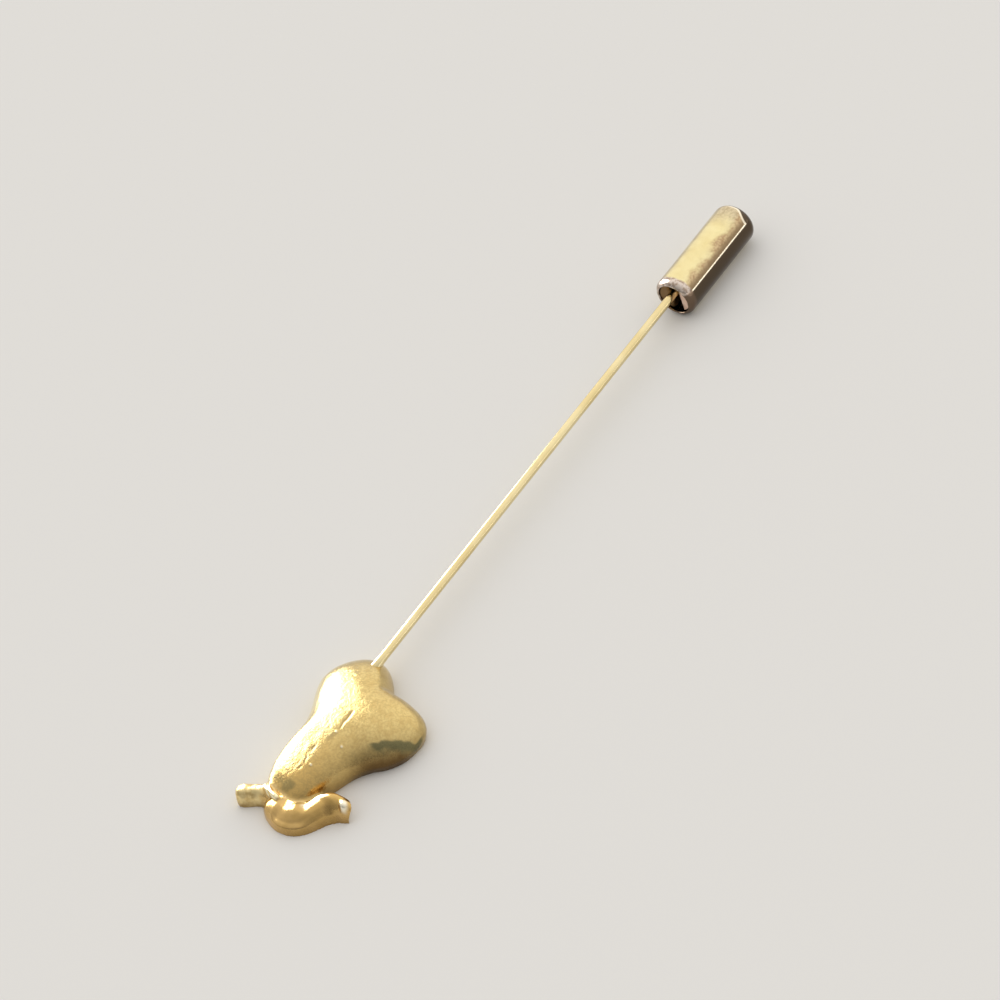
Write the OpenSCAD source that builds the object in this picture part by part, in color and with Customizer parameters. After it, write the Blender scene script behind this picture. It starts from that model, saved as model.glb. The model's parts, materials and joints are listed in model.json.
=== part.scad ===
// Stick pin: a cast gold fruit with a leaf and a stem, on a straight wire
// whose point is covered by a slide-on clutch.
// The pin lies on its back. The wire runs along X, the table is Z = 0, and
// the origin is on the flat back of the head, below the root of the wire.

/* [Wire] */
// Diameter of the wire
wire_d = 0.8; // [0.6:0.05:1]
// Length of the plain round wire, from its root at the head to the mouth of the clutch
wire_show = 47.2; // [35:0.1:60]
// Depth to which the wire is soldered into the fruit
solder_depth = 2; // [1:0.1:3]
// Diameter that the solder adds to the end of the wire, deep in the fruit
solder_add = 0.2; // [0.1:0.05:0.4]
// Length over which the solder runs out along the wire, from its root
solder_l = 1; // [0.8:0.1:1.5]
// Length of the slow taper that starts at the mouth of the clutch
taper_l = 5.4; // [3:0.1:6]
// Diameter of the wire where the taper ends and the sharp tip begins
taper_d = 0.66; // [0.4:0.01:0.75]
// Length of the sharp tip
tip_l = 3.4; // [2:0.1:4]
// Diameter of the blunted end of the tip
tip_end_d = 0.12; // [0.05:0.01:0.2]

/* [Fruit] */
// Length of the fruit, from its stem end to its longer lobe
fruit_l = 16.2; // [14:0.1:20]
// Width of the fruit across both lobes
fruit_w = 12.3; // [10:0.1:15]
// Thickness of the fruit at its heart
fruit_h = 3.9; // [3.6:0.1:5]
// Thickness of the fruit at its stem end
neck_h = 3.1; // [2.6:0.1:3.6]
// Height of the widest part of the fruit above its flat back
rim_h = 0.8; // [0.4:0.1:1.2]
// Inset of the flat back from the widest part of the fruit
back_inset = 0.35; // [0.1:0.05:0.6]

/* [Leaf and stem] */
// Reach of the leaf from the middle of the fruit's stem end to the leaf's tip
leaf_reach = 5.8; // [5:0.1:7]
// Greatest width of the leaf's blade
leaf_w = 2.1; // [1.6:0.1:2.6]
// Greatest thickness of the leaf's blade
leaf_h = 1.9; // [1.6:0.1:2.6]
// Reach of the stem from the middle of the fruit's stem end to its own cut end
stem_reach = 5.8; // [4.5:0.1:6.5]
// Greatest width of the stem
stem_w = 1.8; // [1.4:0.1:2.4]
// Greatest thickness of the stem
stem_h = 1.7; // [1.4:0.1:2.2]
// Width of the raised seam round the stem end, between the stem and the leaf
seam_w = 0.5; // [0.3:0.05:0.8]
// Height of the raised seam
seam_h = 2.1; // [1.8:0.1:2.4]
// Depth to which the leaf, the stem and the seam are sunk into the fruit
sink = 0.4; // [0.2:0.05:0.6]

/* [Clutch] */
// Outside diameter of the barrel
barrel_d = 4.1; // [3.6:0.1:5]
// Length of the barrel
barrel_l = 11.3; // [10.5:0.1:14]
// Thickness of the barrel's drawn wall
barrel_wall = 0.25; // [0.2:0.05:0.3]
// Radius of the rounded edge at the closed end of the barrel
end_round = 0.9; // [0.4:0.05:1]
// Radius of the rounded edge at the mouth of the barrel
mouth_round = 0.6; // [0.4:0.05:0.7]
// Width by which the mouth's edge is turned in past the wall
mouth_lip = 0.2; // [0.05:0.05:0.3]
// Height of the wire above the middle of the barrel, up the slit of the spring
slit_rise = 0.5; // [0:0.05:0.7]

/* [Spring] */
// Thickness of the spring's strip
spring_t = 0.18; // [0.12:0.01:0.2]
// Gap between each leaf of the spring and the wire where they are closest
grip_gap = 0.05; // [0.03:0.01:0.1]
// Gap between the spring and the barrel around it
spring_gap = 0.08; // [0.04:0.01:0.1]
// Distance from the mouth of the barrel in to the edges of the spring's lips
lip_in = 0.2; // [0.1:0.05:0.4]
// Depth to which the lips are dished, from their edges to the start of their bends
lip_dish = 0.1; // [0:0.05:0.4]
// Radius of the bend from each lip to its leaf, on the side of the wire
lip_bend_r = 0.4; // [0.3:0.05:0.5]
// Length over which the leaves lie along the wire
grip_l = 1.6; // [1:0.1:2.5]
// Inside radius of the bend that joins the two leaves
bend_r = 1.15; // [0.9:0.05:1.2]

/* [Hidden] */
gold = [0.86, 0.69, 0.35];
spring_brass = [0.62, 0.5, 0.32];

// Columns of a row of the fruit's outline, seen from above. The lengths are
// counted from the heart of the fruit: towards the clutch as a share of the
// fruit's length, and to the left of the wire as a share of its width.
// FULLNESS says how long the top stays high on the way out to that point.
ALONG = 0;
ACROSS = 1;
FULLNESS = 2;
// The rows start in the notch between the lobes and go round to the notch.
outline = [
    [0.195, -0.130, 4.2],
    [0.285, -0.035, 3.4],
    [0.350, 0.065, 2.7],
    [0.368, 0.170, 2.4],
    [0.340, 0.285, 2.4],
    [0.280, 0.380, 2.4],
    [0.205, 0.437, 2.5],
    [0.120, 0.452, 2.5],
    [0.030, 0.415, 2.5],
    [-0.075, 0.350, 2.6],
    [-0.190, 0.303, 3.0],
    [-0.310, 0.290, 3.8],
    [-0.430, 0.305, 4.8],
    [-0.540, 0.288, 5.6],
    [-0.615, 0.205, 6.0],
    [-0.640, 0.060, 6.2],
    [-0.600, -0.060, 5.8],
    [-0.510, -0.130, 4.8],
    [-0.415, -0.190, 4.0],
    [-0.330, -0.245, 3.7],
    [-0.255, -0.330, 3.5],
    [-0.195, -0.435, 3.4],
    [-0.110, -0.515, 3.3],
    [0.000, -0.545, 3.2],
    [0.076, -0.528, 3.0],
    [0.133, -0.462, 2.9],
    [0.170, -0.350, 3.0],
    [0.187, -0.235, 3.3],
    [0.195, -0.130, 4.2]
];
// Points made between two rows of the outline
outline_steps = 4;
// Rings between the rim of the fruit and its heart
fruit_rings = 14;

// Places on the fruit, as shares of its length and width from its heart: where
// the wire comes out, and the middle of its round stem end
wire_root = [0.309, 0.081];
stem_end = [-0.475, 0.045];
// Radius of the stem end, as a share of the fruit's length
end_share = 0.165;

// Columns of a row of the leaf, the stem or the seam: the direction from the
// middle of the stem end, the reach as a share of the way from the fruit to the
// tip, and the width and thickness as shares of the sizes above. LEAN is how far
// the top leans in towards the fruit, and LAG how far the inner edge stays
// behind the outer one, as shares of the width.
TURN = 0;
REACH = 1;
WIDTH = 2;
THICK = 3;
LEAN = 4;
LAG = 5;
leaf_rows = [
    [146, -0.12, 0.45, 0.50, 0.0, 0],
    [156, -0.05, 0.80, 0.80, 0.1, 0],
    [174, 0.00, 0.98, 0.92, 0.2, 0],
    [189, 0.12, 1.00, 0.95, 0.2, 0],
    [203, 0.20, 1.00, 1.00, 0.2, 0],
    [215, 0.20, 1.00, 1.00, 0.2, 0],
    [230, 0.17, 0.95, 1.00, 0.2, 0.1],
    [245, 0.24, 0.86, 1.05, 0.2, 0.3],
    [257, 0.47, 0.84, 1.08, 0.2, 0.5],
    [262, 0.69, 0.92, 1.02, 0.15, 0.75],
    [265, 0.88, 0.94, 0.84, 0.1, 0.95]
];
stem_rows = [
    [138, 0.00, 1.00, 1.05, 0, 0],
    [125, 0.42, 0.94, 1.00, 0, 0],
    [121, 0.87, 1.00, 1.00, 0, 0],
    [120, 1.00, 0.70, 0.80, 0, 0]
];
seam_rows = [
    [120, 0, 1.00, 1.00, 0, 0],
    [140, 0, 1.00, 1.00, 0, 0],
    [160, 0, 1.00, 0.97, 0, 0],
    [180, 0, 1.00, 0.90, 0, 0],
    [200, 0, 1.00, 0.75, 0, 0]
];
// Points made between two rows of the leaf, the stem or the seam
blade_steps = 4;
// Points across the rounded face of the leaf, the stem or the seam
blade_points = 10;
// How flat the rounded face is: 1 is round, and smaller is flatter
blade_round = 0.7;
// How far the middle of the leaf's flared tip stands out, as a share of its lag
blade_bulge = 0.4;

// Points made along each leaf of the spring, where it opens towards the bend
leaf_steps = 8;
// Sides of a round piece when it is drawn as a mesh
round_sides = 64;
// Height of the wire's axis: the barrel lies on the table, and the wire runs above its middle
barrel_axis_h = barrel_d / 2;
axis_h = barrel_axis_h + slit_rise;
mouth_r = barrel_d / 2 - barrel_wall - mouth_lip;
spring_r = mouth_r - spring_gap;
heart = [-wire_root[0] * fruit_l, -wire_root[1] * fruit_w];
end_point = heart + [stem_end[0] * fruit_l, stem_end[1] * fruit_w];
end_r = end_share * fruit_l;

// Point between b and c, at the share t of the way, on a smooth curve through a, b, c and d
function smooth(a, b, c, d, t) =
    b + (c - a) * t / 2
    + (2 * a - 5 * b + 4 * c - d) * t * t / 2
    + (3 * b - a - 3 * c + d) * t * t * t / 2;

// Row at the place u, counted in rows from the first one
function row_at(rows, u) =
    let (last = len(rows) - 1, i = min(floor(u), last - 1), t = u - i)
    smooth(rows[max(i - 1, 0)], rows[i], rows[i + 1], rows[min(i + 2, last)], t);

// Row made between the rows of a table, numbered from 0
function made_row(rows, steps, i) = row_at(rows, i / steps);

// Faces of a skin over a grid of points, with rings of n points, closed round
function skin_faces(rings, n) = [
    for (k = [0:rings - 2]) for (i = [0:n - 1])
        let (a = k * n + i, b = k * n + (i + 1) % n)
        each [[a, b, b + n], [a, b + n, a + n]]
];

// The fruit: rings from the flat back out to the rim and up to the heart
module fruit() {
    n = (len(outline) - 1) * outline_steps;
    rows = [for (i = [0:n - 1]) made_row(outline, outline_steps, i)];
    // Thickness of the fruit along its crest, thinner towards the stem end
    function crest(x) = x > 0 ? fruit_h
        : fruit_h + (neck_h - fruit_h) * pow(x / (stem_end[0] * fruit_l), 2);
    function rim(r) = [r[ALONG] * fruit_l, r[ACROSS] * fruit_w];
    function place(r, s) = let (p = rim(r) * s)
        [p[0], p[1], rim_h + (crest(p[0]) - rim_h) * sqrt(max(0, 1 - pow(s, r[FULLNESS])))];
    function back(r) = let (p = rim(r), l = norm(p))
        [p[0] * (1 - back_inset / l), p[1] * (1 - back_inset / l), 0];
    rings = [
        [for (r = rows) back(r)],
        for (k = [0:fruit_rings - 1])
            let (s = cos(90 * pow(k / fruit_rings, 1.15)))
            [for (r = rows) place(r, s)]
    ];
    points = [for (ring = rings) each ring];
    top = len(points);
    bottom = top + 1;
    faces = [
        each skin_faces(len(rings), n),
        for (i = [0:n - 1]) [top - n + i, top - n + (i + 1) % n, top],
        for (i = [0:n - 1]) [(i + 1) % n, i, bottom]
    ];
    translate([heart[0], heart[1], 0])
        polyhedron(points = [each points, [0, 0, fruit_h], [0, 0, 0]],
            faces = [for (f = faces) [f[2], f[1], f[0]]]);
}

// A cast blade with a flat back, laid round the stem end of the fruit. It starts
// with its middle at the radius start from the middle of the stem end.
module blade(table, start, reach, width, thick) {
    n = (len(table) - 1) * blade_steps;
    rows = [for (i = [0:n]) made_row(table, blade_steps, i)];
    function out(r) = start + r[REACH] * (reach - start);
    mids = [for (r = rows) end_point + out(r) * [cos(r[TURN]), sin(r[TURN])]];
    function ahead(i) = let (d = mids[min(i + 1, n)] - mids[max(i - 1, 0)]) d / norm(d);
    function section(i) =
        let (r = rows[i], d = ahead(i), inward = [-d[1], d[0]], w = r[WIDTH] * width)
        [for (j = [0:blade_points])
            let (a = 180 * j / blade_points,
                across = w / 2 * cos(a) + w * r[LEAN] * sin(a),
                behind = w * r[LAG] * (pow((1 + cos(a)) / 2, 2) - blade_bulge * sin(a)),
                p = mids[i] + inward * across - d * behind)
            [p[0], p[1], r[THICK] * thick * pow(sin(a), blade_round)]];
    count = blade_points + 1;
    last = n * count;
    faces = [
        each skin_faces(n + 1, count),
        for (j = [1:blade_points - 1]) [0, j + 1, j],
        for (j = [1:blade_points - 1]) [last, last + j, last + j + 1]
    ];
    polyhedron(points = [for (i = [0:n]) each section(i)],
        faces = [for (f = faces) [f[2], f[1], f[0]]]);
}

// The cast head, the wire soldered into it and the wire's ground point
module head_and_wire() {
    color(gold) {
        fruit();
        blade(leaf_rows, end_r - sink + leaf_w / 2, leaf_reach, leaf_w, leaf_h);
        blade(stem_rows, end_r - sink, stem_reach, stem_w, stem_h);
        blade(seam_rows, end_r - sink + seam_w / 2, end_r, seam_w, seam_h);
        translate([0, 0, axis_h]) rotate([0, 90, 0]) {
            translate([0, 0, -solder_depth])
                cylinder(d1 = wire_d + solder_add, d2 = wire_d, h = solder_depth + solder_l,
                    $fn = round_sides);
            translate([0, 0, solder_l])
                cylinder(d = wire_d, h = wire_show - solder_l, $fn = round_sides);
            translate([0, 0, wire_show])
                cylinder(d1 = wire_d, d2 = taper_d, h = taper_l, $fn = round_sides);
            translate([0, 0, wire_show + taper_l])
                cylinder(d1 = taper_d, d2 = tip_end_d, h = tip_l, $fn = round_sides);
        }
    }
}

// Half of a closed tube's section, with its rounded mouth at the bottom
module tube_half(r, l, round_mouth, round_end) {
    translate([0, round_mouth]) square([r, l - round_mouth - round_end]);
    square([r - round_mouth, l / 2]);
    translate([0, l / 2]) square([r - round_end, l / 2]);
    intersection() {
        union() {
            translate([r - round_mouth, round_mouth]) circle(r = round_mouth, $fn = round_sides);
            translate([r - round_end, l - round_end]) circle(r = round_end, $fn = round_sides);
        }
        square([r, l]);
    }
}

// The drawn barrel, closed at its far end and turned in at its mouth
module clutch_barrel() {
    color(gold)
        translate([wire_show, 0, barrel_axis_h]) rotate([0, 90, 0])
            rotate_extrude($fn = round_sides) difference() {
                tube_half(barrel_d / 2, barrel_l, mouth_round, end_round);
                translate([0, barrel_wall])
                    tube_half(barrel_d / 2 - barrel_wall, barrel_l - 2 * barrel_wall,
                        mouth_round - barrel_wall, end_round - barrel_wall);
                square([mouth_r, 2 * mouth_round]);
            }
}

// The spring's strip seen from above: two leaves with lips, joined by a bend
module spring_strip() {
    grip = wire_d / 2 + grip_gap;
    lip_x = lip_in + lip_dish + lip_bend_r;
    grip_end = lip_x + grip_l;
    bend_x = barrel_l - barrel_wall - spring_gap - spring_t - bend_r;
    lip = [for (a = [180:18:270])
        [lip_x + lip_bend_r * cos(a), grip + lip_bend_r * (1 + sin(a))]];
    leaf = [for (i = [0:leaf_steps]) let (t = i / leaf_steps)
        [grip_end + t * (bend_x - grip_end), grip + (bend_r - grip) * (1 - cos(180 * t)) / 2]];
    bend = [for (a = [15:15:75]) [bend_x + bend_r * sin(a), bend_r * cos(a)]];
    half = [[lip_in, spring_r], each lip, each leaf, each bend];
    line = [each half, [bend_x + bend_r, 0],
        for (i = [len(half) - 1:-1:0]) [half[i][0], -half[i][1]]];
    m = len(line) - 1;
    function outer(i) = let (d = line[min(i + 1, m)] - line[max(i - 1, 0)])
        line[i] + spring_t * [-d[1], d[0]] / norm(d);
    polygon([each line, for (i = [m:-1:0]) outer(i)]);
}

// The spring inside the barrel, cut round so that its lips are half moons
module clutch_spring() {
    color(spring_brass) translate([wire_show, 0, barrel_axis_h]) intersection() {
        translate([0, 0, -barrel_d / 2]) linear_extrude(barrel_d) spring_strip();
        rotate([0, 90, 0]) cylinder(r = spring_r, h = barrel_l, $fn = round_sides);
    }
}

head_and_wire();
clutch_barrel();
clutch_spring();
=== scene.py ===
"""The looks of the stick pin: cast head, drawn wire and spring clutch, lying on a pale table."""
import json
import math

import bmesh
import bpy
from mathutils import Matrix, Vector, noise


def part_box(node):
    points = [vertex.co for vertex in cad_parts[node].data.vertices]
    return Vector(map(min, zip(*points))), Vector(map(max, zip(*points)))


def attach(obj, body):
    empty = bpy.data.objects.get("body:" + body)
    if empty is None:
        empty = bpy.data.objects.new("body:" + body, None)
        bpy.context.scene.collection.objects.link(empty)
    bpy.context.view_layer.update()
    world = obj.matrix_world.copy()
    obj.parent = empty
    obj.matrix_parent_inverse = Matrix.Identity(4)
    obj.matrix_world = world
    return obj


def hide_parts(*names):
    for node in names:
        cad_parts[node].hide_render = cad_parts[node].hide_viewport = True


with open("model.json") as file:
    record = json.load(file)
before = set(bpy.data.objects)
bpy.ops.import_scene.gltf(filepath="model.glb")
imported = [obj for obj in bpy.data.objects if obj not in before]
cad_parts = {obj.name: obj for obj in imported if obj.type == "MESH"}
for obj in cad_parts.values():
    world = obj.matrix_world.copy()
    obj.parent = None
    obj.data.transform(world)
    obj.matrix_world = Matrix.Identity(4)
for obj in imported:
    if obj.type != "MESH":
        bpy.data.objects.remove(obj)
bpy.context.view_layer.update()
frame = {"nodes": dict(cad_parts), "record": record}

MM = 0.001
X, Y, Z = Vector((1, 0, 0)), Vector((0, 1, 0)), Vector((0, 0, 1))
# Points of a mesh that lie closer together than this are one point
SAME_POINT = 1e-7

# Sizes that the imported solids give
wire_mount = next(m for m in frame["record"]["mounts"] if m["name"] == "wire_pin")
WIRE_R = wire_mount["dims"]["r_mm"] * MM
WIRE_Z = wire_mount["pos_m"][2]
TIP_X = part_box("head_and_wire")[1].x
barrel_low, barrel_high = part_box("clutch_barrel")
BARREL_R = (barrel_high.z - barrel_low.z) / 2
MOUTH_X = barrel_low.x
END_X = barrel_high.x


def new_piece(name, bm):
    """A finished object from a bmesh, with its place in its mesh."""
    for face in bm.faces:
        face.smooth = True
    mesh = bpy.data.meshes.new(name)
    bm.to_mesh(mesh)
    bm.free()
    piece = bpy.data.objects.new(name, mesh)
    bpy.context.scene.collection.objects.link(piece)
    return piece


def apply_modifiers(piece):
    """Works the piece's modifiers into its mesh."""
    depsgraph = bpy.context.evaluated_depsgraph_get()
    mesh = bpy.data.meshes.new_from_object(piece.evaluated_get(depsgraph))
    piece.modifiers.clear()
    piece.data = mesh


def ease(low, high, value):
    """A share that rises smoothly from 0 at low to 1 at high."""
    t = min(1.0, max(0.0, (value - low) / (high - low)))
    return t * t * (3 - 2 * t)


def spun(profile, z, turns):
    """A round shape about the X axis at height z, spun from (x, radius) points."""
    bm = bmesh.new()
    verts = [bm.verts.new((x, 0, z + r)) for x, r in profile]
    edges = [bm.edges.new(pair) for pair in zip(verts, verts[1:])]
    bmesh.ops.spin(bm, geom=verts + edges, cent=(0, 0, z), axis=X, angle=2 * math.pi,
                   steps=turns, use_merge=True, use_duplicate=False)
    bmesh.ops.remove_doubles(bm, verts=bm.verts, dist=SAME_POINT)
    bmesh.ops.recalc_face_normals(bm, faces=bm.faces)
    return bm


def arc(centre, radius, start, end, steps):
    """Points (x, radius) along an arc in the profile plane, angles in degrees."""
    angles = [math.radians(start + (end - start) * i / steps) for i in range(steps + 1)]
    return [(centre[0] + radius * math.cos(a), centre[1] + radius * math.sin(a)) for a in angles]


# The cast head

# Middle of the fruit's round stem end, where the leaf and the stem start
STEM_END = Vector((-12.7, -0.45, 0)) * MM
# The crease round the fruit, where the leaf, the stem and the seam begin: direction from there in
# degrees, and how far out it lies in millimetres. Where nothing grows, it is put far outside.
CREASE = [(62, 20), (98, 20), (106, 3.4), (116, 2.9), (126, 2.6), (140, 2.2), (180, 2.2),
          (195, 2.4), (222, 2.45), (235, 2.85), (248, 3.1), (264, 3.1), (275, 3.3), (288, 4.0),
          (300, 5.5), (310, 20), (422, 20)]
# Places on the head in millimetres, seen from above. First the raised seam from stem to leaf.
SEAM = [(-14.5, 1.9), (-14.85, 1.35), (-15.1, 0.75), (-15.25, 0.1)]
# Folds in the skin of the fruit, and the valley that the casting left pitted
FOLDS = [[(-6.1, -2.15), (-6.75, -2.15), (-7.3, -2.05), (-8.05, -2.12), (-8.65, -2.0),
          (-9.25, -1.8)],
         [(-10.25, -1.0), (-10.95, -0.86), (-11.85, -0.9), (-12.4, -0.78)]]
PITTED = [(-2.3, 1.0), (-3.2, 0.45), (-5.1, -0.6), (-6.1, -0.85), (-7.2, -1.0), (-8.2, -1.3),
          (-8.8, -1.0), (-10.3, -0.6), (-11.4, -0.5), (-11.9, 0.3), (-12.8, 0.9)]
# Small grains of metal left on the fruit, and small stains with their radius
NIBS = [(-8.3, -2.0), (-9.2, -3.05), (-11.8, -1.6)]
STAINS = [(-9.1, -0.6, 0.35), (-10.2, -0.75, 0.3), (-5.8, -1.15, 0.25), (-7.55, -1.3, 0.25),
          (-13.5, 1.1, 0.35), (-13.7, 0.4, 0.35), (-13.85, -0.1, 0.45), (-14.0, -0.6, 0.4)]
# The upper edge of the painted dark reflection on the near lobe, with its heights
DARK_REFLECTION_EDGE = [(-7.35, -5.6, 2.9), (-7.0, -5.8, 2.95), (-6.55, -6.4, 2.68),
              (-6.1, -6.95, 2.3), (-5.75, -7.35, 1.8), (-5.4, -7.55, 1.3)]
# The leaf's ridge, from the stem to the tip, and the hollow and the flare near the tip
LEAF_RIDGE = [(-15.85, -0.9), (-15.98, -1.5), (-15.95, -2.1), (-15.7, -2.65), (-15.2, -3.1),
              (-14.57, -3.53), (-13.93, -3.92), (-13.3, -4.5)]
LEAF_HOLLOW = (-14.35, -4.75)
LEAF_FLARE = (-13.55, -5.92)
# The web, the metal that closes the crease between the fruit and the leaf, out from the stem
# end: direction in degrees, inner side, outer side, height of the crease and of its rim
WEB = [(172, 1.6, 2.9, 1.80, 1.80), (190, 1.7, 2.9, 1.72, 1.75), (203, 1.8, 3.2, 1.50, 1.90),
       (212, 1.9, 3.4, 1.40, 1.98), (221, 1.9, 3.4, 1.35, 1.98), (229, 1.9, 3.2, 1.25, 1.50),
       (238, 1.9, 3.1, 1.20, 1.20), (248, 2.0, 3.3, 1.20, 1.20), (256, 2.1, 3.5, 1.15, 1.15),
       (263, 2.2, 3.7, 1.00, 1.00)]
# Heights of the web's foot and of its brow, and how far out its crease and its rim run
WEB_FOOT, WEB_BROW = 0.3, 1.75
WEB_CREASE, WEB_RIM = 2.45, 2.75

# Depths and heights of the head's relief in millimetres
FRUIT_WAVE, FRUIT_RIPPLE = 0.018, 0.007
PIT, SMALL_PIT, PITS_SUNK = 0.020, 0.012, 0.008
FOLD_DEPTH = 0.045
NIB_HEIGHT = 0.04
SEAM_HEIGHT = 0.20
HOLLOW_DEPTH = 0.12
FLARE_HEIGHT = 0.30
STEM_ROUGH, STEM_GRIT = 0.09, 0.045
LEAF_WAVE, LEAF_RIPPLE = 0.012, 0.006
# How far the leaf's inner edge leans to the fruit, how steeply it slopes down to the crease, how
# far it sinks next to the stem, and how far the ridge rises near the tip
LEAF_LEAN, LEAF_SLOPE, LEAF_SINK, LEAF_RISE = 0.36, 0.55, 0.38, 0.12

# Distance between the points of the head's even skin
HEAD_VOXEL = 0.08 * MM
# Up to this height the skin of the flat back isn't smoothed
BACK_EDGE = 0.15 * MM
# How often the skin above it and that of the fruit are smoothed
SMOOTH_ALL, SMOOTH_FRUIT = 8, 40
# Heights in millimetres between which the relief grows from nothing to its full depth
RELIEF_START, RELIEF_FULL = 0.1, 0.6
# Points of the solid nearer than this to the wire's middle are the wire
WIRE_REACH = 1.15 * WIRE_R
# What is kept on the points of the head for its material, from 0 to 1
MARKS = ("polish", "pitted", "fold", "tarnish_and_shade", "stains_and_dark_reflection", "crease", "bright", "worn")


def away(point, x, y):
    """Distance in millimetres from a point to a place on the head, seen from above."""
    return math.hypot(point.x / MM - x, point.y / MM - y)


def nearest(point, line):
    """The place on a line of the head that is nearest to a point, all in millimetres."""
    spots = []
    for a, b in zip(line, line[1:]):
        a, b = Vector(a), Vector(b)
        t = min(1.0, max(0.0, (point - a).dot(b - a) / (b - a).length_squared))
        spots.append(a.lerp(b, t))
    return min(spots, key=lambda place: (point - place).length)


def from_line(point, line):
    """Distance in millimetres from a point to a line on the head, seen from above."""
    spot = Vector((point.x, point.y)) / MM
    return (spot - nearest(spot, line)).length


def direction_of(point):
    """The direction of a point from the middle of the stem end, in degrees."""
    return math.degrees(math.atan2(point.y - STEM_END.y, point.x - STEM_END.x)) % 360


def crease_radius(degrees):
    """Distance in millimetres from the middle of the stem end to the crease round the fruit."""
    degrees = degrees + 360 if degrees < CREASE[0][0] else degrees
    for (a, ra), (b, rb) in zip(CREASE, CREASE[1:]):
        if degrees <= b:
            return ra + (rb - ra) * (degrees - a) / (b - a)
    return CREASE[-1][1]


def past_crease(point):
    """Distance in millimetres out past the crease: less than 0 on the fruit."""
    out = Vector((point.x - STEM_END.x, point.y - STEM_END.y))
    return out.length / MM - crease_radius(direction_of(point))


def is_wire(face):
    """True for the faces of the wire in the copied solid."""
    return all(math.hypot(v.co.y, v.co.z - WIRE_Z) < WIRE_REACH for v in face.verts)


def grains(point, size, seed):
    """Smooth noise from -1 to 1 whose bumps are about size millimetres apart."""
    return noise.noise(point / (size * MM) + Vector((seed, 2 * seed, 3 * seed)))


def ridge_place(point):
    """How far a point lies inside the leaf's ridge, in millimetres, and the way to the fruit."""
    spot = Vector((point.x, point.y)) / MM
    ridge = nearest(spot, LEAF_RIDGE)
    inward = (STEM_END.to_2d() / MM - ridge).normalized()
    return (spot - ridge).dot(inward), inward.to_3d()


def lobe_dark_reflection(point, rag):
    """The painted dark reflection on the near lobe: sharp along its upper edge, fading down from
    it.
    """
    spot = point / MM
    edge = nearest(spot, DARK_REFLECTION_EDGE)
    below = ease(-0.05, 0.10, edge.z - spot.z + 0.4 * rag)
    return below * (1 - ease(0.55, 1.30, (spot - edge).length + rag))


def small_stains(point, rag):
    """The stains on the top of the fruit, stronger the nearer they are to the stem."""
    spots = max(1 - ease(0.3 * r, 1.6 * r, away(point, x, y) + 1.5 * rag) for x, y, r in STAINS)
    return spots * 0.60 * ease(-7.0, -13.5, point.x / MM)


def low_tarnish_and_shade(point, rag, fruit, polish):
    """Tarnish with painted dark reflection and shade near the table: on the near side of the fruit,
    the leaf, and the foot of the stem.
    """
    high = point.z / MM + rag
    near = ease(0.0, -2.5, point.y / MM)
    lowest = 1 - ease(0.8, 3.0, abs(point.x / MM + 8.0))
    on_fruit = near * fruit * (1 - ease(0.5, 2.3, high - 0.6 * lowest)) * (0.25 + 0.75 * lowest)
    on_leaf = 0.45 * (1 - ease(0.2, 1.3, high)) * near * polish
    on_stem = 0.40 * (1 - ease(0.3, 1.1, high)) * ease(1.4, 2.2, point.y / MM) * polish
    return on_fruit + on_leaf + on_stem


def leaf_highlight_strip(point, polish):
    """The painted highlight strip that runs along the inner side of the leaf's ridge."""
    if polish <= 0 or point.y >= 0:
        return 0.0
    inside = ridge_place(point)[0]
    strip = 0.6 * polish * ease(-0.15, 0.02, inside) * (1 - ease(0.28, 0.45, inside))
    ends = ease(-15.5, -15.1, point.x / MM) * (1 - ease(-13.6, -13.3, point.x / MM))
    return strip * ends * ease(1.2, 1.5, point.z / MM)


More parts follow.
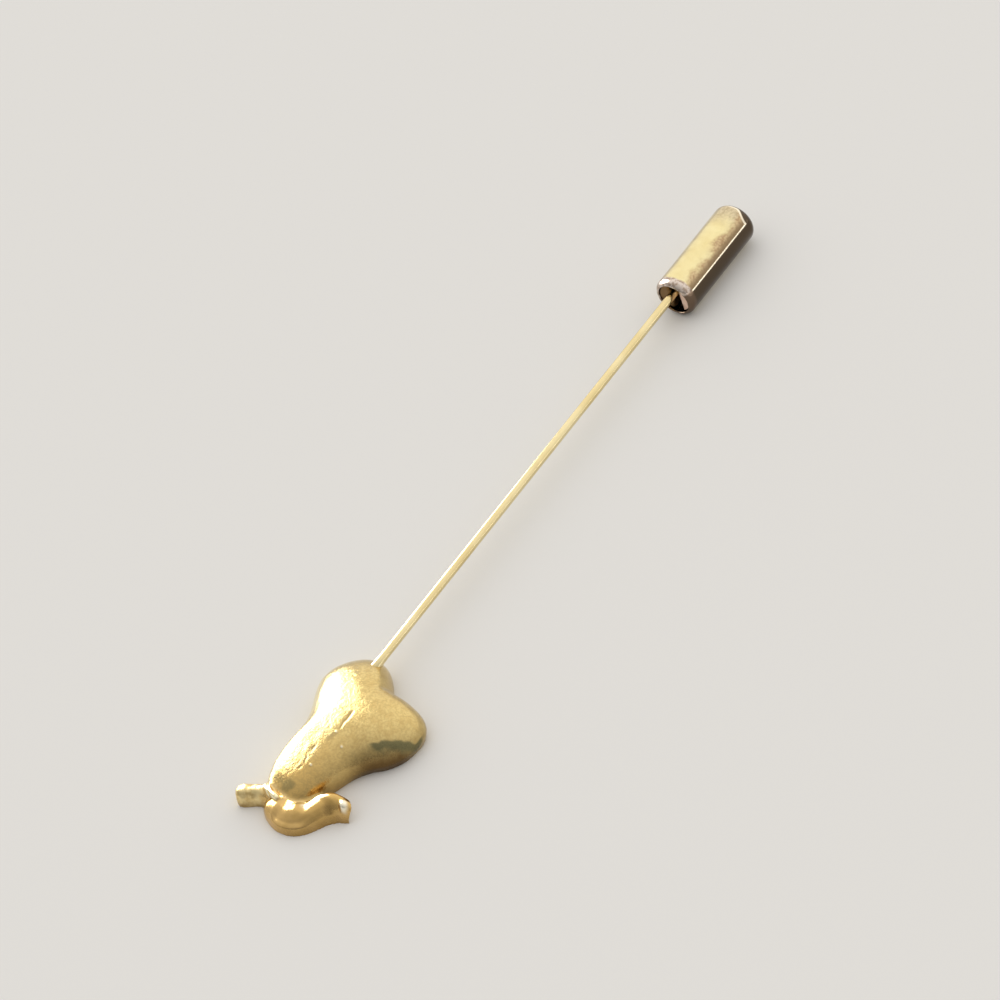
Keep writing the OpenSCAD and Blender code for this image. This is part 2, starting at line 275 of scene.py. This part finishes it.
def head_marks(point, normal):
    """How strongly each mark of the cast head shows at a point that faces along normal."""
    high = point.z / MM
    past = past_crease(point)
    # The edges of the marks wander by this much, and the flat back has few of them
    rag = 0.20 * grains(point, 0.7, 5) + 0.10 * grains(point, 0.3, 6)
    front = ease(0.2, 0.7, high)
    polish = ease(-0.10, 0.10, past)
    fruit = 1 - polish
    pitted = (1 - ease(0.3, 1.1, from_line(point, PITTED) + 2 * rag)) * fruit * front
    # Painted shade: the folds are darkened as well as sunk
    fold = 1 - ease(0.0, 0.26, min(from_line(point, line) for line in FOLDS) + 0.7 * rag)
    fold *= ease(-0.35, 0.3, grains(point, 0.7, 9) + 0.2) * fruit * front
    # Painted shade darkens the hollow near the leaf's tip; the tarnish near the table carries
    # painted dark reflection
    hollow = 0.35 * (1 - ease(0.05, 0.6, away(point, *LEAF_HOLLOW) + rag)) * polish
    tarnish_and_shade = min(1.0, max(low_tarnish_and_shade(point, rag, fruit, polish), hollow))
    # The near lobe's dark band is a painted dark reflection; the small stains on the top are stains
    stains_and_dark_reflection = max(lobe_dark_reflection(point, rag), small_stains(point, rag) * fruit * front)
    # Painted reflection: the shaded crease is coloured with the orange of gold mirrored in gold
    crease = 1 - ease(0.05, 0.40, -past + 0.5 * rag)
    crease *= 1 - ease(0.10, 0.65, past + 0.5 * rag)
    # Painted highlights: the seam, and the upper flank that faces the window, are lightened
    seam = 1 - ease(0.08, 0.28, from_line(point, SEAM))
    flank_highlight = ease(0.90, 0.70, normal.z) * ease(0.1, 0.5, normal.y) * ease(0.4, 1.6, high) * fruit
    # Painted glints on the grains of metal, and painted highlights on the flare and along the
    # leaf's ridge
    glint = 0.6 * front * max(1 - ease(0.04, 0.15, away(point, x, y)) for x, y in NIBS)
    flare = (1 - ease(0.15, 0.48, away(point, *LEAF_FLARE) + 0.3 * rag)) * polish
    return {"polish": polish, "pitted": pitted, "fold": fold, "tarnish_and_shade": tarnish_and_shade, "stains_and_dark_reflection": stains_and_dark_reflection,
            "crease": crease, "bright": max(seam, 0.85 * flank_highlight),
            "worn": max(glint, flare, leaf_highlight_strip(point, polish))}


def head_relief(point, marks):
    """How far the skin of the head stands out at a point, in metres."""
    polish = marks["polish"]
    fruit = 1 - polish
    even = FRUIT_WAVE * grains(point, 2.4, 1) + FRUIT_RIPPLE * grains(point, 0.8, 2)
    pits = PIT * grains(point, 0.6, 3) + SMALL_PIT * grains(point, 0.28, 4) - PITS_SUNK
    flank = ease(-0.5, 2.0, point.y / MM) * (1 - ease(-3.0, -1.0, point.x / MM))
    nib = max(1 - ease(0.05, 0.2, away(point, x, y)) for x, y in NIBS)
    height = even + max(marks["pitted"], 0.5 * flank) * pits - FOLD_DEPTH * marks["fold"]
    height = fruit * (height + NIB_HEIGHT * nib)
    height += SEAM_HEIGHT * (1 - ease(0.05, 0.38, from_line(point, SEAM)))
    leaf = polish * ease(1.0, 0.0, point.y / MM)
    height -= HOLLOW_DEPTH * (1 - ease(0.0, 0.8, away(point, *LEAF_HOLLOW))) * leaf
    height += FLARE_HEIGHT * (1 - ease(0.0, 0.6, away(point, *LEAF_FLARE))) * leaf
    stem = ease(1.6, 2.4, point.y / MM) * polish
    height += stem * (STEM_ROUGH * grains(point, 0.8, 7) + STEM_GRIT * grains(point, 0.4, 8))
    height += polish * (LEAF_WAVE * grains(point, 1.4, 10) + LEAF_RIPPLE * grains(point, 0.5, 11))
    return height * MM


def leaf_shift(point, marks):
    """How far the leaf's inner edge moves at a point, so that it leans to the fruit, in metres."""
    x, high = point.x / MM, point.z / MM
    inside, inward = ridge_place(point)
    leaf = marks["polish"] * ease(0.0, -0.6, point.y / MM) * ease(0.6, 1.5, high)
    base = ease(-15.2, -15.7, x)
    by_stem = 1 - ease(213, 231, direction_of(point))
    slope = LEAF_SLOPE * ease(-13.4, -15.6, x) * (1 - by_stem)
    sink = slope * min(0.6, max(0.0, inside + 0.20))
    sink += LEAF_SINK * by_stem * ease(-2.2, -0.5, inside) * (1 - ease(-0.7, 0.7, inside))
    sink -= LEAF_RISE * ease(-14.2, -13.6, x) * (1 - ease(0.1, 0.7, abs(inside)))
    lean = LEAF_LEAN * (1 - base) * ease(-0.5, 0.3, inside) * (1 - ease(0.35, 1.0, inside))
    return leaf * (lean * inward - sink * Z) * MM


def add_web(bm):
    """Adds the web as one closed form: a six-sided ring for each direction, bridged to the next."""
    rings = []
    for degrees, inner, outer, crease, rim in WEB:
        way = Matrix.Rotation(math.radians(degrees), 3, "Z") @ X
        corners = ((inner, WEB_FOOT), (outer, WEB_FOOT), (outer, min(rim, WEB_BROW)),
                   (WEB_RIM, rim), (WEB_CREASE, crease), (inner, crease))
        verts = [bm.verts.new(STEM_END + (way * out + Z * high) * MM) for out, high in corners]
        rings.append([bm.edges.new(pair) for pair in zip(verts, verts[1:] + verts[:1])])
    for a, b in zip(rings, rings[1:]):
        bmesh.ops.bridge_loops(bm, edges=a + b)
    for ring in (rings[0], rings[-1]):
        bmesh.ops.contextual_create(bm, geom=ring)


def even_skin():
    """The head's solid without its wire, and the web, in one skin of evenly spaced points."""
    bm = bmesh.new()
    bm.from_mesh(frame["nodes"]["head_and_wire"].data)
    bmesh.ops.remove_doubles(bm, verts=bm.verts, dist=SAME_POINT)
    bmesh.ops.delete(bm, geom=[f for f in bm.faces if is_wire(f)], context="FACES")
    bmesh.ops.holes_fill(bm, edges=[e for e in bm.edges if e.is_boundary])
    add_web(bm)
    bmesh.ops.recalc_face_normals(bm, faces=bm.faces)
    head = new_piece("fruit_leaf_and_stem", bm)
    remesh = head.modifiers.new("even skin", "REMESH")
    remesh.mode = "VOXEL"
    remesh.voxel_size = HEAD_VOXEL
    remesh.use_smooth_shade = True
    apply_modifiers(head)
    return head


def make_head():
    """The head: its even skin, smoothed above the flat back, marked and given its relief."""
    head = even_skin()
    bm = bmesh.new()
    bm.from_mesh(head.data)
    above = [v for v in bm.verts if v.co.z > BACK_EDGE]
    fruit = [v for v in above if past_crease(v.co) < 0]
    for verts, passes in ((above, SMOOTH_ALL), (fruit, SMOOTH_FRUIT)):
        for _ in range(passes):
            bmesh.ops.smooth_vert(bm, verts=verts, factor=0.5, use_axis_x=True, use_axis_y=True,
                                  use_axis_z=True)
    for name in MARKS:
        bm.verts.layers.float.new(name)
    layers = {name: bm.verts.layers.float[name] for name in MARKS}
    bm.normal_update()
    lifts = []
    for v in bm.verts:
        marks = head_marks(v.co, v.normal)
        for name, value in marks.items():
            v[layers[name]] = value
        lift = v.normal * head_relief(v.co, marks) + leaf_shift(v.co, marks)
        lifts.append(lift * ease(RELIEF_START, RELIEF_FULL, v.co.z / MM))
    for v, lift in zip(bm.verts, lifts):
        v.co += lift
    bm.to_mesh(head.data)
    bm.free()
    return head


# The wire

# A cone of solder, from inside the fruit to where the bare wire begins
SOLDER_DEPTH = 2 * MM
SOLDER_R = 0.5 * MM
SOLDER_END = 1 * MM
# The ground taper, and the short tip that ends it
TAPER_L = 5.4 * MM
TAPER_R = 0.33 * MM
TIP_L = 0.05 * MM
TIP_R = 0.06 * MM


def make_wire():
    """The round wire from inside the fruit to its ground point, which starts at the clutch."""
    steps = 40
    profile = [(-SOLDER_DEPTH, 0), (-SOLDER_DEPTH, SOLDER_R), (SOLDER_END, WIRE_R)]
    profile += [(SOLDER_END + (MOUTH_X - SOLDER_END) * i / steps, WIRE_R)
                for i in range(1, steps + 1)]
    profile += [(MOUTH_X + TAPER_L, TAPER_R), (TIP_X - TIP_L, TIP_R), (TIP_X, 0)]
    return new_piece("pin_wire", spun(profile, WIRE_Z, turns=48))


# The barrel of the clutch

WALL = 0.25 * MM
MOUTH_ROUND = 0.6 * MM
END_ROUND = 0.9 * MM
# The round of the rolled mouth ends at this many degrees, short of its foremost point. It is set
# forward by as much, so that the lip ends where the solid's does.
LIP_ANGLE = 165
LIP_FORWARD = 0.02 * MM
# Where the straight part of the bore begins behind the mouth
BORE_START = 2 * MM
# Heights of the dents near the mouth and of the waves all over, in millimetres
DENT, SMALL_DENT, BARREL_WAVE = 0.03, 0.012, 0.008


def make_barrel():
    """The drawn barrel: its outside, the rolled mouth and the inside, spun in one."""
    start = MOUTH_X - LIP_FORWARD
    inner_r = BARREL_R - WALL
    mouth = (start + MOUTH_ROUND, BARREL_R - MOUTH_ROUND)
    steps = 40
    body = END_X - END_ROUND - start - MOUTH_ROUND
    profile = [(END_X, 0)]
    profile += [(END_X, r * BARREL_R) for r in (0.2, 0.4)]
    profile += arc((END_X - END_ROUND, BARREL_R - END_ROUND), END_ROUND, 0, 90, 12)
    profile += [(END_X - END_ROUND - body * i / steps, BARREL_R) for i in range(1, steps)]
    profile += arc(mouth, MOUTH_ROUND, 90, LIP_ANGLE, 12)
    profile += arc(mouth, MOUTH_ROUND - WALL, 150, 90, 6)
    profile += [(start + BORE_START, inner_r), (END_X - END_ROUND, inner_r)]
    profile += [(END_X - WALL, inner_r - END_ROUND + WALL), (END_X - WALL, 0)]
    bm = spun(profile, BARREL_R, turns=120)
    bm.normal_update()
    for v in bm.verts:
        near_mouth = 1 - ease(0.5 * MM, 1.6 * MM, v.co.x - start)
        dents = DENT * grains(v.co, 0.8, 0) + SMALL_DENT * grains(v.co, 0.35, 0)
        v.co += v.normal * (dents * near_mouth + BARREL_WAVE * grains(v.co, 3, 0)) * MM
    return new_piece("barrel", bm)


# What the materials are built from

# Most of the values of a speckle lie between these
SPECKLED = (0.3, 0.7)


def fill(material, socket, value):
    """Joins a socket to another one, or sets it to a number, a vector or a colour."""
    if isinstance(value, bpy.types.NodeSocket):
        material.node_tree.links.new(value, socket)
    elif socket.type == "RGBA":
        socket.default_value = (*value, 1)
    else:
        socket.default_value = value


def shade(material, kind, **inputs):
    """A shader node in the material, with its sockets set or joined by name."""
    node = material.node_tree.nodes.new(kind)
    for key, value in inputs.items():
        fill(material, node.inputs[key.replace("_", " ")], value)
    return node


def new_metal(name):
    """An empty metal and its place on the object, to be finished."""
    material = bpy.data.materials.new(name)
    material.use_nodes = True
    material.node_tree.nodes.clear()
    place = shade(material, "ShaderNodeTexCoord").outputs["Object"]
    return material, place


def mark(material, name):
    """One of the head's marks, kept on its points."""
    node = shade(material, "ShaderNodeAttribute")
    node.attribute_name = name
    return node.outputs["Fac"]


def axes_of(material, place):
    """How far along X, across Y and high up Z the place is, in metres."""
    outputs = shade(material, "ShaderNodeSeparateXYZ", Vector=place).outputs
    return outputs["X"], outputs["Y"], outputs["Z"]


def speckle(material, place, size, detail=3.0, rough=0.55, stretch=(1, 1, 1)):
    """Noise whose grains are about size metres across."""
    scaled = shade(material, "ShaderNodeMapping", Vector=place, Scale=stretch)
    node = shade(material, "ShaderNodeTexNoise", Vector=scaled.outputs["Vector"], Scale=1 / size,
                 Detail=detail, Roughness=rough)
    return node.outputs["Fac"]


def ramp(material, value, low, high, to_low=0.0, to_high=1.0):
    """The value taken from low..high to to_low..to_high, smoothly."""
    node = shade(material, "ShaderNodeMapRange", Value=value, From_Min=low, From_Max=high,
                 To_Min=to_low, To_Max=to_high)
    node.interpolation_type = "SMOOTHSTEP"
    return node.outputs["Result"]


def mixed(material, share, a, b):
    """The colour between a and b, with this share of b."""
    node = shade(material, "ShaderNodeMix")
    node.data_type = "RGBA"
    fill(material, node.inputs["Factor"], share)
    for name, colour in (("A", a), ("B", b)):
        socket = next(s for s in node.inputs if s.name == name and s.type == "RGBA")
        fill(material, socket, colour)
    return next(s for s in node.outputs if s.type == "RGBA")


def patchy(material, patches, a, b, low=SPECKLED[0], high=SPECKLED[1]):
    """The colour a with patches of b, where the speckle rises from low to high."""
    return mixed(material, ramp(material, patches, low, high), a, b)


def reckon(material, operation, a, b):
    """One step of arithmetic on two values."""
    node = shade(material, "ShaderNodeMath")
    node.operation = operation
    for socket, value in zip(node.inputs, (a, b)):
        fill(material, socket, value)
    return node.outputs["Value"]


def times(material, a, b):
    """The product of two values."""
    return reckon(material, "MULTIPLY", a, b)


def plus(material, a, b):
    """The sum of two values."""
    return reckon(material, "ADD", a, b)


def most(material, a, b):
    """The larger of two values."""
    return reckon(material, "MAXIMUM", a, b)


def metal_surface(material, colour, rough, height, depth):
    """The finished surface: a metal with this colour, roughness and relief."""
    bump = shade(material, "ShaderNodeBump", Height=height, Strength=1.0, Distance=depth)
    surface = shade(material, "ShaderNodeBsdfPrincipled", Metallic=1.0, Base_Color=colour,
                    Roughness=rough, Normal=bump.outputs["Normal"])
    shade(material, "ShaderNodeOutputMaterial", Surface=surface.outputs["BSDF"])
    return material


# Cast gold

SATIN, SATIN_BY_STEM = (0.68, 0.52, 0.22), (0.64, 0.43, 0.15)
SATIN_BLOTCH, SATIN_GRAIN, GRIME = (0.55, 0.38, 0.14), (0.46, 0.33, 0.13), (0.46, 0.38, 0.20)
ROSE, DEEP_ROSE = (0.72, 0.48, 0.19), (0.60, 0.39, 0.13)
STEM_GOLD, DEEP_STEM_GOLD = (0.90, 0.72, 0.36), (0.66, 0.48, 0.20)
# How strongly a mark colours the gold, and its colour, from the first laid on to the last
# The crease's orange is a painted reflection and the fold's dark a painted shade
MARK_COLOURS = (("crease", 0.6, (0.86, 0.63, 0.30)), ("fold", 0.6, (0.24, 0.17, 0.08)),
                # Tarnish with painted dark reflection and shade, then stains, among them the near
                # lobe's painted dark reflection
                ("tarnish_and_shade", 0.9, (0.12, 0.065, 0.022)), ("stains_and_dark_reflection", 0.9, (0.16, 0.15, 0.075)),
                # Painted highlights on the seam and the flank, then painted glints and highlights
                # on the leaf
                ("bright", 0.95, (1.0, 0.90, 0.58)), ("worn", 0.9, (1.0, 0.95, 0.78)))
# Roughness from the smoothest grains to the roughest, and what the stem, the tarnish with its
# painted dark reflection, and the stains with the near lobe's painted dark band add
SATIN_ROUGH, POLISHED_ROUGH = (0.14, 0.23), (0.18, 0.26)
STEM_DULL, TARNISH_AND_SHADE_DULL, STAINS_AND_REFLECTION_DULL = 0.12, 0.12, 0.08
# Fine bumps: their full depth, and the shares of it on the satin, in the pits and everywhere
CAST_RELIEF = 0.03 * MM
SATIN_RELIEF, PITTED_RELIEF, PLAIN_RELIEF = 0.62, 0.50, 0.08


def cast_gold():
    """Satin gold on the fruit, polished and rosier gold on the leaf, paler gold on the stem."""
    material, place = new_metal("cast gold")
    marks = {name: mark(material, name) for name in MARKS}
    polish = marks["polish"]
    on_fruit = reckon(material, "SUBTRACT", 1.0, polish)
    along, across, _ = axes_of(material, place)
    cloudy = speckle(material, place, 3 * MM)
    blotches = speckle(material, place, 0.7 * MM, detail=4)
    grain = speckle(material, place, 0.22 * MM, detail=4, rough=0.65)

    to_stem = plus(material, along, ramp(material, cloudy, *SPECKLED, -MM, MM))
    satin = mixed(material, ramp(material, to_stem, -7 * MM, -14 * MM), SATIN, SATIN_BY_STEM)
    satin = mixed(material, ramp(material, blotches, 0.35, 0.7, 0.0, 0.55), satin, SATIN_BLOTCH)
    satin = mixed(material, ramp(material, grain, 0.38, 0.58, 0.45, 0.0), satin, SATIN_GRAIN)
    grimy = times(material, marks["pitted"], ramp(material, blotches, 0.42, 0.62, 0.0, 0.6))
    satin = mixed(material, grimy, satin, GRIME)
    stem = ramp(material, across, 1.4 * MM, 2.4 * MM)
    rose = patchy(material, cloudy, ROSE, DEEP_ROSE)
    pale = patchy(material, blotches, STEM_GOLD, DEEP_STEM_GOLD, low=0.4, high=0.65)
    colour = mixed(material, polish, satin, mixed(material, stem, rose, pale))
    for name, strength, tint in MARK_COLOURS:
        colour = mixed(material, times(material, marks[name], strength), colour, tint)

    satin_rough = ramp(material, grain, *SPECKLED, *SATIN_ROUGH)
    shiny_rough = plus(material, ramp(material, grain, *SPECKLED, *POLISHED_ROUGH),
                       times(material, stem, STEM_DULL))
    rough = plus(material, times(material, satin_rough, on_fruit),
                 times(material, shiny_rough, polish))
    rough = plus(material, rough, most(material, times(material, marks["tarnish_and_shade"], TARNISH_AND_SHADE_DULL),
                                       times(material, marks["stains_and_dark_reflection"], STAINS_AND_REFLECTION_DULL)))
    relief = plus(material, times(material, on_fruit, SATIN_RELIEF),
                  times(material, marks["pitted"], PITTED_RELIEF))
    height = times(material, grain, plus(material, relief, PLAIN_RELIEF))
    return metal_surface(material, colour, rough, height, CAST_RELIEF)


# Drawn wire gold

WIRE_GOLD, DEEP_WIRE_GOLD = (0.80, 0.68, 0.39), (0.72, 0.58, 0.29)
WIRE_ROUGH, WIRE_RELIEF = (0.12, 0.22), 0.004 * MM
# Scale of the drawn lines' speckle along the wire, where 1 is its scale across
DRAWN = 0.02


def drawn_wire_gold():
    """Bright yellow gold with faint marks drawn along the wire."""
    material, place = new_metal("drawn wire gold")
    lines = speckle(material, place, 0.12 * MM, stretch=(DRAWN, 1, 1))
    colour = patchy(material, speckle(material, place, 4 * MM), WIRE_GOLD, DEEP_WIRE_GOLD)
    rough = ramp(material, lines, *SPECKLED, *WIRE_ROUGH)
    return metal_surface(material, colour, rough, lines, WIRE_RELIEF)


# Barrel gold

BARREL_GOLD, DEEP_BARREL_GOLD = (0.80, 0.70, 0.39), (0.74, 0.62, 0.31)
TARNISH, PALE_TARNISH = (0.40, 0.31, 0.20), (0.56, 0.46, 0.32)
COPPER, PALE_COPPER = (0.42, 0.28, 0.15), (0.60, 0.45, 0.26)
# Brown of a painted dark reflection towards the edge of the near side
NEAR_DARK_REFLECTION = (0.26, 0.18, 0.10)
# A painted highlight line, and the almost black of a painted dark reflection
PAINTED_HIGHLIGHT_LINE, PAINTED_DARK_REFLECTION = (0.92, 0.82, 0.64), (0.075, 0.05, 0.03)
SILVER, BARE_BRASS, RIM_SHADOW = (0.66, 0.57, 0.50), (0.40, 0.30, 0.23), (0.16, 0.11, 0.075)
# How strongly the painted highlight line and the painted dark reflection cover the gold
LINE_STRENGTH, DARK_STRENGTH = 0.85, 0.97
BARREL_ROUGH, BARREL_RELIEF = (0.14, 0.22), 0.004 * MM
# How far the edges of the tarnish wander
WANDER = 0.45 * MM


def tarnish_and_dark_reflection(material, colour, axes, wander, grain):
    """Brown tarnish on the far side and the end, and coppery tarnish on the near side that deepens
    to the brown of a painted dark reflection towards its edge.
    """
    along, across, _ = axes
    near = times(material, across, -1.0)
    speckled = ramp(material, grain, 0.35, 0.6)
    end = ramp(material, plus(material, along, wander), END_X - 3.4 * MM, END_X - 1.0 * MM,
               0.0, 0.8)
    far_side = ramp(material, plus(material, across, wander), 0.6 * MM, 1.6 * MM, 0.0, 0.8)
    colour = mixed(material, most(material, end, far_side), colour,
                   mixed(material, speckled, TARNISH, PALE_TARNISH))
    # The near side's copper is tarnish; its deepening to brown towards the edge is a painted dark
    # reflection
    near_side = ramp(material, plus(material, near, wander), 0.8 * MM, 1.6 * MM)
    colour = mixed(material, near_side, colour, mixed(material, speckled, COPPER, PALE_COPPER))
    return mixed(material, ramp(material, near, 1.35 * MM, 1.8 * MM), colour, NEAR_DARK_REFLECTION)


def painted_reflections(material, colour, axes):
    """Painted dark reflection that makes the low near side and the end almost black, and a painted
    highlight: a thin pale line along their edge.
    """
    along, across, high = axes
    near = ramp(material, across, 0.9 * MM, 0.0)
    line = ramp(material, high, BARREL_R + 0.97 * MM, BARREL_R + 0.92 * MM)
    under = ramp(material, high, BARREL_R + 0.87 * MM, BARREL_R + 0.80 * MM)
    under = times(material, under, ramp(material, high, 0.15 * MM, 1.1 * MM, 0.25, 1.0))
    slant = ramp(material, times(material, across, -1.0), 0.6 * MM, 1.9 * MM, 0.0, 0.75 * MM)
    slant = plus(material, along, slant)
    end_line = ramp(material, slant, END_X - 0.66 * MM, END_X - 0.56 * MM)
    cap = ramp(material, slant, END_X - 0.44 * MM, END_X - 0.34 * MM)
    cap = times(material, cap,
                ramp(material, along, END_X - 0.10 * MM, END_X - 0.03 * MM, 1.0, 0.3))
    line = most(material, times(material, line, near), end_line)
    dark = most(material, times(material, under, near), cap)
    colour = mixed(material, times(material, line, LINE_STRENGTH), colour, PAINTED_HIGHLIGHT_LINE)
    return mixed(material, times(material, dark, DARK_STRENGTH), colour, PAINTED_DARK_REFLECTION)


def worn_mouth(material, colour, axes, wander, blotches):
    """The rolled mouth, its plating wearing through to a patchy silver on its upper side, with
    painted shade on its lower.
    """
    along, across, high = axes
    rim = plus(material, along, times(material, wander, 0.3))
    rim = ramp(material, rim, MOUTH_X + 0.75 * MM, MOUTH_X + 1.0 * MM, 1.0, 0.0)
    upper = plus(material, high, times(material, across, 0.4))
    upper = plus(material, upper, times(material, wander, 0.5))
    upper = ramp(material, upper, BARREL_R + 0.2 * MM, BARREL_R + 0.6 * MM)
    silver = patchy(material, blotches, SILVER, BARE_BRASS, low=0.42, high=0.62)
    return mixed(material, rim, colour, mixed(material, upper, RIM_SHADOW, silver))


def barrel_gold():
    """Yellow gold that turns to brown tarnish at one side and the end, with a painted dark
    reflection and a painted highlight line low on the near side and at the end, silvery where the
    rim wears through.
    """
    material, place = new_metal("barrel gold")
    axes = axes_of(material, place)
    cloudy = speckle(material, place, 1.6 * MM, detail=5)
    grain = speckle(material, place, 0.25 * MM, detail=4)
    blotches = speckle(material, place, 0.45 * MM, detail=4)
    wander = ramp(material, cloudy, 0.2, 0.8, -WANDER, WANDER)
    colour = patchy(material, cloudy, BARREL_GOLD, DEEP_BARREL_GOLD)
    colour = tarnish_and_dark_reflection(material, colour, axes, wander, grain)
    colour = painted_reflections(material, colour, axes)
    colour = worn_mouth(material, colour, axes, wander, blotches)
    rough = ramp(material, grain, *SPECKLED, *BARREL_ROUGH)
    return metal_surface(material, colour, rough, grain, BARREL_RELIEF)


# Spring brass

# The far leaf's brown is painted shade
PINK, DEEP_PINK, SPRING_SHADE_BROWN = (1.0, 0.78, 0.66), (0.84, 0.62, 0.50), (0.24, 0.15, 0.07)
SPRING_ROUGH, SPRING_RELIEF = (0.35, 0.5), 0.005 * MM


def spring_brass():
    """Spring brass: pink on the near leaf, with the far one painted brown as shade."""
    material, place = new_metal("spring brass")
    _, across, _ = axes_of(material, place)
    grain = speckle(material, place, 0.2 * MM)
    pink = patchy(material, speckle(material, place, 1 * MM), PINK, DEEP_PINK)
    # Painted shade: the far leaf is coloured brown
    shaded_far_leaf = ramp(material, across, -0.2 * MM, 0.3 * MM)
    colour = mixed(material, shaded_far_leaf, pink, SPRING_SHADE_BROWN)
    rough = ramp(material, grain, *SPECKLED, *SPRING_ROUGH)
    return metal_surface(material, colour, rough, grain, SPRING_RELIEF)


def give(piece, material):
    """Gives the piece this material alone."""
    piece.data.materials.clear()
    piece.data.materials.append(material)


# The stage, with lengths in metres and angles in degrees

TABLE_SIZE = 3.0
TABLE_COLOUR, TABLE_ROUGH = (0.80, 0.79, 0.77, 1), 0.7
CAMERA_AZIMUTH, CAMERA_ELEVATION, CAMERA_ROLL = -39.74, 43.0, 21.77
CAMERA_DISTANCE = 0.370
AIM = Vector((21.8, 2.88, 0)) * MM
# Length of the lens and width of the film behind it in millimetres
LENS, FILM = 149.94, 36
CLIP_NEAR, CLIP_FAR = 0.01, 10
ROOM_COLOUR = (1.0, 0.98, 0.95, 1)
# How bright the room looks at eye level, and how much brighter towards +X, +Y and straight up
ROOM_LIGHT = 0.75
ROOM_RISE = (0.45, 0.08, 0.25)
# A bright window to the left, and a thin bright strip low on the right
WINDOW_PLACE, WINDOW_SIZE, WINDOW_LIGHT = Vector((0.042, 0.17, 0.107)), (0.148, 0.200), 8.0
STRIP_PLACE, STRIP_SIZE, STRIP_LIGHT = Vector((0.20, -0.40, 0.012)), (0.90, 0.018), 2.5


def make_floor():
    """A plain pale table."""
    bm = bmesh.new()
    bmesh.ops.create_grid(bm, x_segments=1, y_segments=1, size=TABLE_SIZE / 2)
    floor = new_piece("table", bm)
    material = bpy.data.materials.new("pale table")
    material.use_nodes = True
    surface = material.node_tree.nodes["Principled BSDF"]
    surface.inputs["Base Color"].default_value = TABLE_COLOUR
    surface.inputs["Roughness"].default_value = TABLE_ROUGH
    give(floor, material)


def look_from(point, target, roll=0.0):
    """The place and turn of a lamp or a camera at a point that looks at the target."""
    turn = (target - point).to_track_quat("-Z", "Y").to_matrix().to_4x4()
    return Matrix.Translation(point) @ turn @ Matrix.Rotation(math.radians(roll), 4, "Z")


def make_camera():
    """The photograph's view of the pin, with its colours shown as they are."""
    a, e = math.radians(CAMERA_AZIMUTH), math.radians(CAMERA_ELEVATION)
    back = Vector((math.sin(a) * math.cos(e), -math.cos(a) * math.cos(e), math.sin(e)))
    data = bpy.data.cameras.new("camera")
    data.lens, data.sensor_width = LENS, FILM
    data.clip_start, data.clip_end = CLIP_NEAR, CLIP_FAR
    camera = bpy.data.objects.new("camera", data)
    camera.matrix_world = look_from(AIM + back * CAMERA_DISTANCE, AIM, -CAMERA_ROLL)
    scene = bpy.context.scene
    scene.collection.objects.link(camera)
    scene.camera = camera
    scene.view_settings.view_transform = "Standard"


def make_panel(name, middle, size, facing, light, lit):
    """A soft box with this middle and size, which faces one way and lights these pieces alone."""
    data = bpy.data.lights.new(name, "AREA")
    data.shape = "RECTANGLE"
    data.size, data.size_y = size
    data.energy = light * math.pi * size[0] * size[1]
    panel = bpy.data.objects.new(name, data)
    panel.matrix_world = look_from(middle, middle + facing)
    panel.visible_camera = False
    group = bpy.data.collections.new(name + " lights")
    for piece in lit:
        group.objects.link(piece)
    panel.light_linking.receiver_collection = group
    bpy.context.scene.collection.objects.link(panel)


def make_room():
    """A pale room all round, brighter above and beyond the clutch."""
    world = bpy.data.worlds.new("room")
    world.use_nodes = True
    nodes, links = world.node_tree.nodes, world.node_tree.links
    way = nodes.new("ShaderNodeTexCoord").outputs["Generated"]
    rise = nodes.new("ShaderNodeVectorMath")
    rise.operation = "DOT_PRODUCT"
    rise.inputs[1].default_value = ROOM_RISE
    links.new(way, rise.inputs[0])
    glow = nodes.new("ShaderNodeMath")
    glow.inputs[1].default_value = ROOM_LIGHT
    links.new(rise.outputs["Value"], glow.inputs[0])
    room = nodes["Background"]
    room.inputs["Color"].default_value = ROOM_COLOUR
    links.new(glow.outputs["Value"], room.inputs["Strength"])
    bpy.context.scene.world = world


make_camera()
make_room()
make_floor()

head = make_head()
wire = make_wire()
barrel = make_barrel()
spring = frame["nodes"]["clutch_spring"]
give(head, cast_gold())
give(wire, drawn_wire_gold())
give(barrel, barrel_gold())
give(spring, spring_brass())
for piece, body, slot in ((head, "pin", "cast_gold"), (wire, "pin", "cast_gold"),
                          (barrel, "clutch", "drawn_gold")):
    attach(piece, body)
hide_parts("head_and_wire")
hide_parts("head_and_wire")
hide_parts("clutch_barrel")

make_panel("window", WINDOW_PLACE, WINDOW_SIZE, -Y, WINDOW_LIGHT, [head, wire, barrel, spring])
make_panel("strip", STRIP_PLACE, STRIP_SIZE, Y, STRIP_LIGHT, [wire, barrel])
